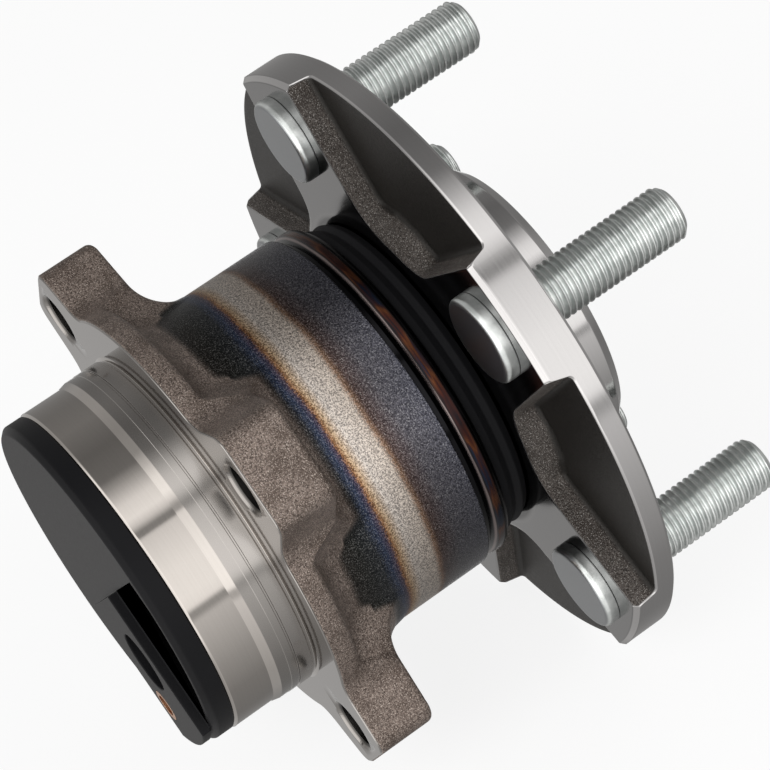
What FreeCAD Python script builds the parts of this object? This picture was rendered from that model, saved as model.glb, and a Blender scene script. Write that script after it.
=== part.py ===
import FreeCAD, Part
import math
import os
import Sketcher
from types import SimpleNamespace

# Wheel hub bearing for a wheel that is not driven: a flanged hub turns inside a flanged outer ring
# on two rows of balls, and a plastic cap with a speed sensor port closes the inboard end.
# Millimetres and degrees. Y is the spin axis and points outboard, towards the wheel, Z is up.
# The origin is the centre of the face that the wheel is bolted to. Places along Y are given as
# distances from that face. Angles around Y start at the top and grow towards +X.

sizes = {
    # wheel flange
    "flange_radius": 71.0,
    "flange_thickness": 10.2,
    "flange_rim_chamfer": 1.0,
    "flange_root_rise": 4.0,
    "pocket_depth": 5.2,
    "pocket_foot_margin": 10.5,
    "pocket_wall_run": 4.0,
    "pocket_draft": 0.5,
    "pad_rim_half_width": 13.2,
    "pad_root_half_width": 15.6,
    # pilot that centres the wheel
    "pilot_radius": 33.5,
    "pilot_length": 18.0,
    "pilot_chamfer": 2.4,
    "recess_mouth_wall": 8.0,
    "recess_floor_wall": 14.5,
    "recess_depth": 14.0,
    # wheel studs
    "stud_count": 5,
    "stud_edge_margin": 13.85,
    "stud_phase": 52.65,
    "stud_radius": 6.0,
    "stud_knurl_height": 0.5,
    "stud_head_radius": 9.6,
    "stud_head_thickness": 3.0,
    "stud_reach": 34.3,
    "stud_tip_chamfer": 1.3,
    # outer ring
    "ring_outboard_end": 21.7,
    "barrel_radius": 40.0,
    "race_wall": 4.55,
    "seal_groove_width": 1.4,
    "seal_groove_depth": 1.4,
    "spigot_length": 19.9,
    "spigot_land_length": 8.7,
    "spigot_taper_length": 1.9,
    "spigot_taper": 0.55,
    "spigot_inset": 1.2,
    "base_flange_rise": 8.0,
    "base_flange_thickness": 5.3,
    "base_root_run": 3.2,
    # lobes of the knuckle flange
    "lobe_length": 12.1,
    "lobe_thickness": 13.3,
    "lobe_tip_half_width": 10.3,
    "lobe_root_half_width": 17.6,
    "lobe_root_sink": 3.4,
    "lobe_corner_radius": 4.0,
    "lobe_flank_fillet": 8.0,
    "lobe_back_run": 4.0,
    "lobe_edge_margin": 8.1,
    "lobe_hole_radius": 5.25,
    "upper_lobe_angle": 50.5,
    "lower_lobe_angle": 135.2,
    # rolling rows
    "ball_radius": 6.35,
    "ball_clearance": 0.1,
    "ball_spacing": 15.1,
    "outboard_row_inset": 16.8,
    "row_spacing": 26.0,
    "inboard_row_inset": 21.0,
    "outer_land_rise": 2.0,
    "inner_land_drop": 2.2,
    "race_length": 10.5,
    "cage_land_clearance": 0.3,
    "cage_wall": 3.7,
    "cage_rim_width": 2.5,
    "cage_pocket_clearance": 0.2,
    "cage_finger_length": 3.5,
    # hub spindle and the pressed inner ring
    "seal_land_rise": 2.7,
    "outboard_shoulder": 9.0,
    "inner_ring_wall": 4.55,
    "inner_ring_front": 12.5,
    "inner_ring_back": 13.5,
    "formed_rim_height": 5.0,
    "formed_rim_thickness": 3.5,
    # outboard seal
    "seal_wall": 4.0,
    "seal_bore_depth": 6.3,
    "seal_case_wall": 1.0,
    "seal_bead_width": 4.5,
    "seal_bead_inset": 0.4,
    "seal_bead_chamfer": 1.2,
    "seal_lip_clearance": 0.1,
    "seal_lip_gap": 0.3,
    "seal_lip_rise": 1.4,
    "seal_web_thickness": 2.3,
    "seal_sleeve_wall": 1.0,
    # speed sensor encoder
    "carrier_wall": 0.8,
    "carrier_grip": 3.0,
    "carrier_reach": 5.0,
    "carrier_eye_width": 12.5,
    "encoder_width": 11.5,
    "encoder_inset": 3.3,
    "encoder_thickness": 1.0,
    # end cap
    "cap_rim_inset": 0.25,
    "cap_thickness": 5.1,
    "cap_edge_chamfer": 1.2,
    "cap_bore_wall": 2.25,
    "cap_spigot_length": 6.0,
    "cap_spigot_wall": 2.6,
    "cap_clocking": -39.05,
    "boss_height": 2.2,
    "boss_left": 14.0,
    "boss_right": 12.0,
    "boss_top": 2.0,
    "boss_edge_inset": 0.6,
    "port_radius": 6.8,
    "port_across": 1.1,
    "port_edge_margin": 20.9,
    "insert_radius": 3.6,
    "insert_bore_radius": 2.5,
    "insert_depth": 5.6,
    "insert_across": 8.6,
    "insert_edge_margin": 10.8,
    "cap_recess_depth": 3.0,
    "cap_recess_inset": 2.5,
    "cap_recess_wall": 0.6,
    "cap_recess_end": 1.1,
    "cap_recess_top": 2.2,
}

document = FreeCAD.newDocument("wheel_hub_bearing")
sheet = document.addObject("Spreadsheet::Sheet", "Sizes")


# A size keeps its value together with the sheet formula that gives it, so that sketches are drawn
# near their final place and stay bound to the sheet.
class Size:
    def __init__(self, value, formula):
        self.value = value
        self.formula = formula

    def __add__(self, other):
        other = as_size(other)
        return Size(self.value + other.value, "(%s + %s)" % (self.formula, other.formula))

    def __sub__(self, other):
        other = as_size(other)
        return Size(self.value - other.value, "(%s - %s)" % (self.formula, other.formula))

    def __mul__(self, other):
        other = as_size(other)
        return Size(self.value * other.value, "(%s * %s)" % (self.formula, other.formula))

    def __truediv__(self, other):
        other = as_size(other)
        return Size(self.value / other.value, "(%s / %s)" % (self.formula, other.formula))

    def __neg__(self):
        return Size(-self.value, "(-1 * %s)" % self.formula)


def as_size(value):
    if isinstance(value, Size):
        return value
    return Size(value, repr(value))


def root_of(value):
    return Size(math.sqrt(value.value), "sqrt(%s)" % value.formula)


def whole_part_of(value):
    return Size(math.floor(value.value), "floor(%s)" % value.formula)


def sine_of(angle):
    return Size(math.sin(math.radians(angle.value)), "sin(%s * 1 deg)" % angle.formula)


def cosine_of(angle):
    return Size(math.cos(math.radians(angle.value)), "cos(%s * 1 deg)" % angle.formula)


def fill_sheet():
    named = {}
    for row, (name, value) in enumerate(sizes.items(), start=1):
        sheet.set("A%d" % row, name)
        sheet.set("B%d" % row, str(value))
        sheet.setAlias("B%d" % row, name)
        named[name] = Size(value, "Sizes." + name)
    document.recompute()
    return SimpleNamespace(**named)


size = fill_sheet()
nothing = Size(0.0, "0")


def bind(target, path, value):
    target.setExpression(path, as_size(value).formula)


def new_body(label):
    body = document.addObject("PartDesign::Body", label)
    body.Label = label
    return body


def origin_part(body, role):
    return [part for part in body.Origin.OriginFeatures if part.Role == role][0]


def new_sketch(body, name, role, offset=nothing):
    sketch = body.newObject("Sketcher::SketchObject", name)
    sketch.AttachmentSupport = [(origin_part(body, role), "")]
    sketch.MapMode = "FlatFace"
    sketch.AttachmentOffset = FreeCAD.Placement(FreeCAD.Vector(0, 0, offset.value), FreeCAD.Rotation())
    bind(sketch, "AttachmentOffset.Base.z", offset)
    return sketch


# Fixes one end of a line at its place across and up the sketch.
def pin_point(sketch, line, end, across, up):
    sideways = Sketcher.Constraint("DistanceX", -1, 1, line, end, across.value)
    upright = Sketcher.Constraint("DistanceY", -1, 1, line, end, up.value)
    bind(sketch, "Constraints[%d]" % sketch.addConstraint(sideways), across)
    bind(sketch, "Constraints[%d]" % sketch.addConstraint(upright), up)


# A closed outline of straight lines through corners that are given as pairs of sizes.
def draw_outline(sketch, corners):
    corners = [(as_size(across), as_size(up)) for across, up in corners]
    places = [FreeCAD.Vector(across.value, up.value, 0) for across, up in corners]
    lines = []
    for here, there in zip(places, places[1:] + places[:1]):
        lines.append(sketch.addGeometry(Part.LineSegment(here, there), False))
    for line, following in zip(lines, lines[1:] + lines[:1]):
        sketch.addConstraint(Sketcher.Constraint("Coincident", line, 2, following, 1))
    for line, (across, up) in zip(lines, corners):
        pin_point(sketch, line, 1, across, up)
    return lines


def draw_circle(sketch, across, up, radius):
    across = as_size(across)
    up = as_size(up)
    centre = FreeCAD.Vector(across.value, up.value, 0)
    circle = sketch.addGeometry(Part.Circle(centre, FreeCAD.Vector(0, 0, 1), radius.value), False)
    round_size = Sketcher.Constraint("Radius", circle, radius.value)
    bind(sketch, "Constraints[%d]" % sketch.addConstraint(round_size), radius)
    pin_point(sketch, circle, 3, across, up)


# The profile's corners are (place along Y, radius), turned a full circle about the Y axis.
def turn_profile(body, name, corners):
    sketch = new_sketch(body, name + "Profile", "YZ_Plane")
    draw_outline(sketch, corners)
    turned = body.newObject("PartDesign::Revolution", name)
    turned.Profile = sketch
    turned.ReferenceAxis = (sketch, ["H_Axis"])
    turned.Angle = 360
    body.Tip = turned
    return turned


def add_pad(body, name, sketch, length, reverse=False):
    pad = body.newObject("PartDesign::Pad", name)
    pad.Profile = sketch
    bind(pad, "Length", length)
    pad.Reversed = reverse
    body.Tip = pad
    return pad


def add_pocket(body, name, sketch, depth, reverse=False):
    pocket = body.newObject("PartDesign::Pocket", name)
    pocket.Profile = sketch
    bind(pocket, "Length", depth)
    pocket.Reversed = reverse
    body.Tip = pocket
    return pocket


def repeat_around(body, name, features, count):
    pattern = body.newObject("PartDesign::PolarPattern", name)
    pattern.Originals = features
    pattern.Axis = (origin_part(body, "Y_Axis"), [""])
    pattern.Angle = 360
    bind(pattern, "Occurrences", count)
    body.Tip = pattern
    return pattern


def turn_body(body, angle):
    turn = FreeCAD.Rotation(FreeCAD.Vector(0, 1, 0), angle.value)
    body.Placement = FreeCAD.Placement(FreeCAD.Vector(), turn)
    bind(body, "Placement.Rotation.Angle", angle)


# Names of the straight edges parallel to Y whose distance from the axis passes a test.
def upright_edges(shape, is_wanted):
    names = []
    for number, edge in enumerate(shape.Edges, start=1):
        if not isinstance(edge.Curve, Part.Line):
            continue
        middle = edge.valueAt((edge.FirstParameter + edge.LastParameter) / 2)
        direction = edge.tangentAt(edge.FirstParameter)
        if abs(direction.y) > 0.95 and is_wanted(math.hypot(middle.x, middle.z)):
            names.append("Edge%d" % number)
    return names


def dress(body, kind, name, base, edges, amount):
    feature = body.newObject("PartDesign::" + kind, name)
    feature.Base = (base, edges)
    bind(feature, "Radius" if kind == "Fillet" else "Size", amount)
    body.Tip = feature
    return feature


# Radii grow from the outer ring's barrel inwards and outwards, so the pieces stay fitted together.
# The balls touch a plain cylinder and a 45 degree cone. From the row's centre, the two meet this far
# along the axis, and the cone leaves the ball's side as the radius grows or shrinks.
running_radius = size.ball_radius + size.ball_clearance
race_turn = running_radius * (math.sqrt(2) - 1)
outer_race_radius = size.barrel_radius - size.race_wall
pitch_radius = outer_race_radius - running_radius
ball_count = whole_part_of(pitch_radius * (2 * math.pi) / size.ball_spacing)
inner_race_radius = pitch_radius - running_radius
outer_land_radius = pitch_radius + size.outer_land_rise
inner_land_radius = pitch_radius - size.inner_land_drop
outer_cone_run = outer_race_radius - outer_land_radius
inner_cone_run = inner_land_radius - inner_race_radius
seal_land_radius = inner_land_radius + size.seal_land_rise
flange_root_radius = seal_land_radius + size.flange_root_rise
seat_radius = inner_race_radius - size.inner_ring_wall
encoder_outer_radius = inner_land_radius - size.encoder_inset
seal_bore_radius = size.barrel_radius - size.seal_wall
spigot_radius = size.barrel_radius - size.spigot_inset
spigot_nose_radius = spigot_radius - size.spigot_taper
cap_bore_radius = spigot_nose_radius - size.cap_bore_wall
cap_radius = spigot_nose_radius - size.cap_rim_inset
base_flange_radius = size.barrel_radius + size.base_flange_rise
lobe_reach = base_flange_radius + size.lobe_length
stud_circle_radius = size.flange_radius - size.stud_edge_margin

# Distances from the wheel face, inboard.
outboard_row = size.ring_outboard_end + size.outboard_row_inset
inboard_row = outboard_row + size.row_spacing
ring_inboard_end = inboard_row + size.inboard_row_inset
inner_ring_face = inboard_row - size.inner_ring_front
inner_ring_end = inboard_row + size.inner_ring_back
knuckle_face = ring_inboard_end - size.spigot_length
carrier_face = inner_ring_end + size.carrier_reach
cap_face = ring_inboard_end + size.cap_thickness


def make_outer_ring():
    body = new_body("outer_ring")
    outboard_centre = -outboard_row
    inboard_centre = -inboard_row
    groove_end = -size.ring_outboard_end - size.seal_groove_width
    flange_back = size.base_flange_thickness - knuckle_face
    land_end = -knuckle_face - size.spigot_land_length
    corners = [
        (-size.ring_outboard_end, seal_bore_radius),
        (-size.ring_outboard_end, size.barrel_radius - size.seal_groove_depth),
        (groove_end, size.barrel_radius - size.seal_groove_depth),
        (groove_end, size.barrel_radius),
        (flange_back + size.base_root_run, size.barrel_radius),
        (flange_back, size.barrel_radius + size.base_root_run),
        (flange_back, base_flange_radius),
        (-knuckle_face, base_flange_radius),
        (-knuckle_face, spigot_radius),
        (land_end, spigot_radius),
        (land_end - size.spigot_taper_length, spigot_nose_radius),
        (-ring_inboard_end, spigot_nose_radius),
        (-ring_inboard_end, cap_bore_radius),
        (inboard_centre - size.race_length, cap_bore_radius),
        (inboard_centre - size.race_length, outer_race_radius),
        (inboard_centre + race_turn, outer_race_radius),
        (inboard_centre + race_turn + outer_cone_run, outer_land_radius),
        (outboard_centre - race_turn - outer_cone_run, outer_land_radius),
        (outboard_centre - race_turn, outer_race_radius),
        (outboard_centre + size.race_length, outer_race_radius),
        (outboard_centre + size.race_length, seal_bore_radius),
    ]
    ring = turn_profile(body, "Ring", corners)
    angles = [size.upper_lobe_angle, size.lower_lobe_angle, -size.lower_lobe_angle, -size.upper_lobe_angle]
    for number, angle in enumerate(angles, start=1):
        add_lobe(body, number, angle)
    document.recompute()
    round_lobes(body)
    for number, angle in enumerate(angles, start=1):
        add_lobe_slope(body, number, angle)
        drill_lobe(body, number, angle)
    return body


# Turns a sketch on the XZ plane about the Y axis, so that its up direction points at the angle.
def aim_sketch(sketch, angle):
    turn = FreeCAD.Rotation(FreeCAD.Vector(0, 0, 1), -angle.value)
    sketch.AttachmentOffset = FreeCAD.Placement(sketch.AttachmentOffset.Base, turn)
    bind(sketch, "AttachmentOffset.Rotation.Angle", -angle)


# A lobe's outline from inside the barrel out to a radius, with its flanks drawing together.
def lobe_corners(top):
    root = size.barrel_radius - size.lobe_root_sink
    root_half = size.lobe_root_half_width
    share = (top - root) / (lobe_reach - root)
    half = root_half - (root_half - size.lobe_tip_half_width) * share
    return [(-root_half, root), (-half, top), (half, top), (root_half, root)]


def lobe_sketch(body, name, number, angle, place, top):
    sketch = new_sketch(body, "%s%d" % (name, number), "XZ_Plane", place)
    aim_sketch(sketch, angle)
    draw_outline(sketch, lobe_corners(top))
    return sketch


def add_lobe(body, number, angle):
    back = knuckle_face - size.lobe_thickness
    outline = lobe_sketch(body, "LobeOutline", number, angle, back, lobe_reach)
    add_pad(body, "Lobe%d" % number, outline, size.lobe_thickness)


# The lobe's back climbs to the barrel over a slope.
def add_lobe_slope(body, number, angle):
    back = knuckle_face - size.lobe_thickness
    low = size.barrel_radius + size.lobe_back_run
    slope = body.newObject("PartDesign::AdditiveLoft", "LobeSlope%d" % number)
    slope.Profile = lobe_sketch(body, "SlopeFoot", number, angle, back, low)
    top = lobe_sketch(body, "SlopeTop", number, angle, back - size.lobe_back_run, size.barrel_radius)
    slope.Sections = [top]
    slope.Ruled = True
    body.Tip = slope


# The tips get outside corners and the flanks run into the base flange.
def round_lobes(body):
    tip_edge = root_of(lobe_reach * lobe_reach + size.lobe_tip_half_width * size.lobe_tip_half_width)
    lobes = body.Tip
    tips = upright_edges(lobes.Shape, lambda radius: abs(radius - tip_edge.value) < 0.01)
    corners = dress(body, "Fillet", "LobeCorners", lobes, tips, size.lobe_corner_radius)
    document.recompute()
    roots = upright_edges(corners.Shape, lambda radius: abs(radius - base_flange_radius.value) < 0.01)
    dress(body, "Fillet", "LobeFlanks", corners, roots, size.lobe_flank_fillet)


def drill_lobe(body, number, angle):
    sketch = new_sketch(body, "LobeHoleOutline%d" % number, "XZ_Plane", knuckle_face)
    aim_sketch(sketch, angle)
    draw_circle(sketch, nothing, lobe_reach - size.lobe_edge_margin, size.lobe_hole_radius)
    add_pocket(body, "LobeHole%d" % number, sketch, size.lobe_thickness)


def make_wheel_hub():
    body = new_body("wheel_hub")
    outboard_centre = -outboard_row
    shoulder = size.outboard_shoulder - outboard_row
    rim_radius = seat_radius + size.formed_rim_height
    rim_end = -inner_ring_end - size.formed_rim_thickness
    corners = [
        (size.pilot_length - size.recess_depth, nothing),
        (size.pilot_length - size.recess_depth, size.pilot_radius - size.recess_floor_wall),
        (size.pilot_length, size.pilot_radius - size.recess_mouth_wall),
        (size.pilot_length, size.pilot_radius - size.pilot_chamfer),
        (size.pilot_length - size.pilot_chamfer, size.pilot_radius),
        (nothing, size.pilot_radius),
        (nothing, size.flange_radius),
        (size.flange_rim_chamfer - size.flange_thickness, size.flange_radius),
        (-size.flange_thickness, size.flange_radius - size.flange_rim_chamfer),
        (-size.flange_thickness, flange_root_radius),
        (-size.flange_thickness - size.flange_root_rise, seal_land_radius),
        (shoulder, seal_land_radius),
        (shoulder, inner_land_radius),
        (outboard_centre + race_turn + inner_cone_run, inner_land_radius),
        (outboard_centre + race_turn, inner_race_radius),
        (-inner_ring_face, inner_race_radius),
        (-inner_ring_face, seat_radius),
        (-inner_ring_end, seat_radius),
        (-inner_ring_end, rim_radius),
        (rim_end, rim_radius),
        (rim_end, nothing),
    ]
    turn_profile(body, "Spindle", corners)
    cut_flange_pockets(body)
    drill_stud_holes(body)
    turn_body(body, size.stud_phase)
    return body


# One pocket lies halfway between two studs. Its sides run along the two stud pads, its inner end
# slopes up to the machined plane, and it is open at the rim.
def pocket_corners(depth_share):
    half_step = Size(180.0, "180") / size.stud_count
    sine = sine_of(half_step)
    cosine = cosine_of(half_step)
    foot = flange_root_radius + size.pocket_foot_margin
    lean = (size.pad_root_half_width - size.pad_rim_half_width) / (size.flange_radius - foot)
    shrink = size.pocket_draft * depth_share
    inner = foot - size.pocket_wall_run * (1 - depth_share)
    # beside a pad, a point at this distance along the stud's own radius is moved to the pocket's frame
    outer = size.flange_radius + size.pad_rim_half_width
    beyond_rim = size.pad_rim_half_width * lean
    outer_side = size.pad_rim_half_width - beyond_rim + shrink
    outer_across = outer * sine - outer_side * cosine
    outer_up = outer * cosine + outer_side * sine
    # where the pad's side meets the inner end of the pocket
    slope_up = cosine - lean * sine
    slope_across = sine + lean * cosine
    reach = (inner - (outer_up - outer * slope_up)) / slope_up
    inner_across = outer_across - (outer - reach) * slope_across
    right_side = [(outer_across, outer_up), (inner_across, inner)]
    return [(-inner_across, inner), (-outer_across, outer_up)] + right_side


def cut_flange_pockets(body):
    mouth = new_sketch(body, "PocketMouth", "XZ_Plane", size.flange_thickness)
    draw_outline(mouth, pocket_corners(0))
    floor = new_sketch(body, "PocketFloor", "XZ_Plane", size.flange_thickness - size.pocket_depth)
    draw_outline(floor, pocket_corners(1))
    half_step = Size(180.0, "180") / size.stud_count
    aim_sketch(mouth, half_step)
    aim_sketch(floor, half_step)
    pocket = body.newObject("PartDesign::SubtractiveLoft", "FlangePocket")
    pocket.Profile = mouth
    pocket.Sections = [floor]
    pocket.Ruled = True
    body.Tip = pocket
    repeat_around(body, "FlangePockets", [pocket], size.stud_count)


def drill_stud_holes(body):
    sketch = new_sketch(body, "StudHoleOutline", "XZ_Plane", size.flange_thickness)
    draw_circle(sketch, nothing, stud_circle_radius, size.stud_radius + size.stud_knurl_height)
    hole = add_pocket(body, "StudHole", sketch, size.flange_thickness)
    repeat_around(body, "StudHoles", [hole], size.stud_count)


# A stud's knurl fills the flange's hole from the head to the wheel face.
def make_stud(number):
    body = new_body("wheel_stud_%d" % number)
    head_face = -size.flange_thickness - size.stud_head_thickness
    knurl_radius = size.stud_radius + size.stud_knurl_height
    corners = [
        (head_face, nothing),
        (head_face, size.stud_head_radius),
        (-size.flange_thickness, size.stud_head_radius),
        (-size.flange_thickness, knurl_radius),
        (nothing, knurl_radius),
        (nothing, size.stud_radius),
        (size.stud_reach - size.stud_tip_chamfer, size.stud_radius),
        (size.stud_reach, size.stud_radius - size.stud_tip_chamfer),
        (size.stud_reach, nothing),
    ]
    turn_profile(body, "Stud%d" % number, corners)
    angle = size.stud_phase - Size(360.0 * (number - 1), "%d" % (360 * (number - 1))) / size.stud_count
    across = stud_circle_radius * sine_of(angle)
    up = stud_circle_radius * cosine_of(angle)
    body.Placement = FreeCAD.Placement(FreeCAD.Vector(across.value, 0, up.value), FreeCAD.Rotation())
    bind(body, "Placement.Base.x", across)
    bind(body, "Placement.Base.z", up)
    return body


def make_inner_ring():
    body = new_body("inner_ring")
    centre = -inboard_row
    corners = [
        (-inner_ring_face, seat_radius),
        (-inner_ring_face, inner_race_radius),
        (centre - race_turn, inner_race_radius),
        (centre - race_turn - inner_cone_run, inner_land_radius),
        (-inner_ring_end, inner_land_radius),
        (-inner_ring_end, seat_radius),
    ]
    turn_profile(body, "InnerRing", corners)
    return body


# The cage's own centre is the row's centre and its rim lies on the +Y side, under the outer land.
def make_cage(label, centre, turned_round):
    body = new_body(label)
    outer = outer_land_radius - size.cage_land_clearance
    inner = outer - size.cage_wall
    rim_start = size.ball_radius + size.cage_pocket_clearance
    rim_end = rim_start + size.cage_rim_width
    past_fingers = size.cage_finger_length + size.cage_rim_width
    corners = [
        (-size.cage_finger_length, inner),
        (-size.cage_finger_length, outer),
        (rim_end, outer),
        (rim_end, inner),
    ]
    turn_profile(body, "CageRing", corners)
    outline = new_sketch(body, "BallPocketOutline", "XY_Plane")
    draw_outline(outline, [
        (-rim_start, -past_fingers),
        (-rim_start, rim_start),
        (rim_start, rim_start),
        (rim_start, -past_fingers),
    ])
    pocket = add_pocket(body, "BallPocket", outline, outer_land_radius, reverse=True)
    repeat_around(body, "BallPockets", [pocket], ball_count)
    angle = 180 if turned_round else 0
    turn = FreeCAD.Rotation(FreeCAD.Vector(0, 0, 1), angle)
    body.Placement = FreeCAD.Placement(FreeCAD.Vector(0, centre.value, 0), turn)
    bind(body, "Placement.Base.y", centre)
    return body


def make_seal_case():
    body = new_body("outboard_seal_case")
    ring_end = -size.ring_outboard_end
    bead_end = ring_end + size.seal_bead_width
    inner = seal_bore_radius - size.seal_case_wall
    bead_radius = size.barrel_radius - size.seal_bead_inset
    corners = [
        (ring_end - size.seal_bore_depth, inner),
        (ring_end - size.seal_bore_depth, seal_bore_radius),
        (ring_end, seal_bore_radius),
        (ring_end, bead_radius - size.seal_bead_chamfer),
        (ring_end + size.seal_bead_chamfer, bead_radius),
        (bead_end - size.seal_bead_chamfer, bead_radius),
        (bead_end, bead_radius - size.seal_bead_chamfer),
        (bead_end, inner),
    ]
    turn_profile(body, "SealCase", corners)
    return body


def make_seal_lip():
    body = new_body("outboard_seal_lip")
    ring_end = -size.ring_outboard_end
    bead_end = ring_end + size.seal_bead_width
    web_start = ring_end - size.seal_bore_depth + size.seal_case_wall
    lip_end = -size.flange_thickness - size.seal_lip_gap
    case_inner = seal_bore_radius - size.seal_case_wall
    land = seal_land_radius + size.seal_lip_clearance
    corners = [
        (web_start, land),
        (web_start + size.seal_web_thickness, land),
        (web_start + size.seal_web_thickness, case_inner - size.seal_sleeve_wall),
        (lip_end, case_inner - size.seal_sleeve_wall),
        (lip_end, seal_bore_radius + size.seal_lip_rise),
        (bead_end, seal_bore_radius + size.seal_lip_rise),
        (bead_end, case_inner),
        (web_start, case_inner),
    ]
    turn_profile(body, "SealLip", corners)
    return body


def make_encoder_carrier():
    body = new_body("encoder_carrier")
    outer = inner_land_radius + size.carrier_wall
    eye = encoder_outer_radius - size.carrier_eye_width
    corners = [
        (size.carrier_grip - inner_ring_end, inner_land_radius),
        (size.carrier_grip - inner_ring_end, outer),
        (-carrier_face, outer),
        (-carrier_face, eye),
        (size.carrier_wall - carrier_face, eye),
        (size.carrier_wall - carrier_face, inner_land_radius),
    ]
    turn_profile(body, "Carrier", corners)
    return body


def make_encoder_ring():
    body = new_body("encoder_ring")
    inner = encoder_outer_radius - size.encoder_width
    corners = [
        (-carrier_face, inner),
        (-carrier_face, encoder_outer_radius),
        (-carrier_face - size.encoder_thickness, encoder_outer_radius),
        (-carrier_face - size.encoder_thickness, inner),
    ]
    turn_profile(body, "Encoder", corners)
    return body


# A flat outline whose lower side is an arc about the axis and whose other sides are straight.
def draw_arc_bottomed(sketch, left, right, top, radius):
    left_up = -root_of(radius * radius - left * left)
    right_up = -root_of(radius * radius - right * right)
    upper = [FreeCAD.Vector(left.value, top.value, 0), FreeCAD.Vector(right.value, top.value, 0)]
    lower = [FreeCAD.Vector(left.value, left_up.value, 0), FreeCAD.Vector(right.value, right_up.value, 0)]
    start = math.atan2(left_up.value, left.value)
    end = math.atan2(right_up.value, right.value)
    circle = Part.Circle(FreeCAD.Vector(), FreeCAD.Vector(0, 0, 1), radius.value)
    top_line = sketch.addGeometry(Part.LineSegment(upper[0], upper[1]), False)
    right_line = sketch.addGeometry(Part.LineSegment(upper[1], lower[1]), False)
    arc = sketch.addGeometry(Part.ArcOfCircle(circle, start, end), False)
    left_line = sketch.addGeometry(Part.LineSegment(lower[0], upper[0]), False)
    sketch.addConstraint(Sketcher.Constraint("Coincident", top_line, 2, right_line, 1))
    sketch.addConstraint(Sketcher.Constraint("Coincident", right_line, 2, arc, 2))
    sketch.addConstraint(Sketcher.Constraint("Coincident", arc, 1, left_line, 1))
    sketch.addConstraint(Sketcher.Constraint("Coincident", left_line, 2, top_line, 1))
    sketch.addConstraint(Sketcher.Constraint("Coincident", arc, 3, -1, 1))
    sketch.addConstraint(Sketcher.Constraint("Vertical", right_line))
    sketch.addConstraint(Sketcher.Constraint("Vertical", left_line))
    round_size = Sketcher.Constraint("Radius", arc, radius.value)
    bind(sketch, "Constraints[%d]" % sketch.addConstraint(round_size), radius)
    pin_point(sketch, top_line, 1, left, top)
    to_right = Sketcher.Constraint("DistanceX", -1, 1, top_line, 2, right.value)
    bind(sketch, "Constraints[%d]" % sketch.addConstraint(to_right), right)
    sketch.addConstraint(Sketcher.Constraint("Horizontal", top_line))


# The cap is drawn with its sensor boss straight down and then turned to its place.
def make_end_cap():
    body = new_body("end_cap")
    plate = -ring_inboard_end
    spigot_end = plate + size.cap_spigot_length
    corners = [
        (-cap_face, nothing),
        (-cap_face, cap_radius - size.cap_edge_chamfer),
        (size.cap_edge_chamfer - cap_face, cap_radius),
        (plate, cap_radius),
        (plate, cap_bore_radius),
        (spigot_end, cap_bore_radius),
        (spigot_end, cap_bore_radius - size.cap_spigot_wall),
        (plate, cap_bore_radius - size.cap_spigot_wall),
        (plate, nothing),
    ]
    turn_profile(body, "Cap", corners)
    boss = new_sketch(body, "BossOutline", "XZ_Plane", cap_face)
    boss_edge = cap_radius - size.boss_edge_inset
    draw_arc_bottomed(boss, -size.boss_left, size.boss_right, -size.boss_top, boss_edge)
    add_pad(body, "Boss", boss, size.boss_height)
    recess = new_sketch(body, "CapRecessOutline", "XZ_Plane", cap_face)
    recess_left = size.boss_right + size.cap_recess_wall
    recess_edge = cap_radius - size.cap_recess_inset
    recess_right = recess_edge - size.cap_recess_end
    draw_arc_bottomed(recess, recess_left, recess_right, -size.cap_recess_top, recess_edge)
    add_pocket(body, "CapRecess", recess, size.cap_recess_depth)
    boss_face = cap_face + size.boss_height
    port = new_sketch(body, "PortOutline", "XZ_Plane", boss_face)
    draw_circle(port, size.port_across, size.port_edge_margin - cap_radius, size.port_radius)
    add_pocket(body, "Port", port, boss_face - ring_inboard_end)
    seat = new_sketch(body, "InsertSeatOutline", "XZ_Plane", boss_face)
    draw_circle(seat, -size.insert_across, size.insert_edge_margin - cap_radius, size.insert_radius)
    add_pocket(body, "InsertSeat", seat, size.insert_depth)
    turn_body(body, size.cap_clocking)
    return body


def make_sensor_insert():
    body = new_body("sensor_insert")
    boss_face = -cap_face - size.boss_height
    corners = [
        (boss_face, size.insert_bore_radius),
        (boss_face, size.insert_radius),
        (boss_face + size.insert_depth, size.insert_radius),
        (boss_face + size.insert_depth, size.insert_bore_radius),
    ]
    turn_profile(body, "Insert", corners)
    sine = sine_of(size.cap_clocking)
    cosine = cosine_of(size.cap_clocking)
    below = cap_radius - size.insert_edge_margin
    across = -size.insert_across * cosine - below * sine
    up = size.insert_across * sine - below * cosine
    body.Placement = FreeCAD.Placement(FreeCAD.Vector(across.value, 0, up.value), FreeCAD.Rotation())
    bind(body, "Placement.Base.x", across)
    bind(body, "Placement.Base.z", up)
    return body


def check_and_write(bodies):
    document.recompute()
    broken = [item.Name for item in document.Objects if {"Invalid", "Error"} & set(item.State)]
    if broken:
        raise RuntimeError("failed features: " + ", ".join(broken))
    for body in bodies:
        if body.Shape.isNull() or not body.Shape.isValid():
            raise RuntimeError("bad shape: " + body.Label)
    os.makedirs("parts", exist_ok=True)
    for body in bodies:
        body.Shape.exportStep("parts/%s.step" % body.Label)


def make_all():
    bodies = [make_outer_ring(), make_wheel_hub()]
    bodies += [make_stud(number) for number in range(1, sizes["stud_count"] + 1)]
    bodies.append(make_inner_ring())
    bodies.append(make_cage("outboard_cage", -outboard_row, True))
    bodies.append(make_cage("inboard_cage", -inboard_row, False))
    bodies.append(make_seal_case())
    bodies.append(make_seal_lip())
    bodies.append(make_encoder_carrier())
    bodies.append(make_encoder_ring())
    bodies.append(make_end_cap())
    bodies.append(make_sensor_insert())
    return bodies


check_and_write(make_all())
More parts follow.
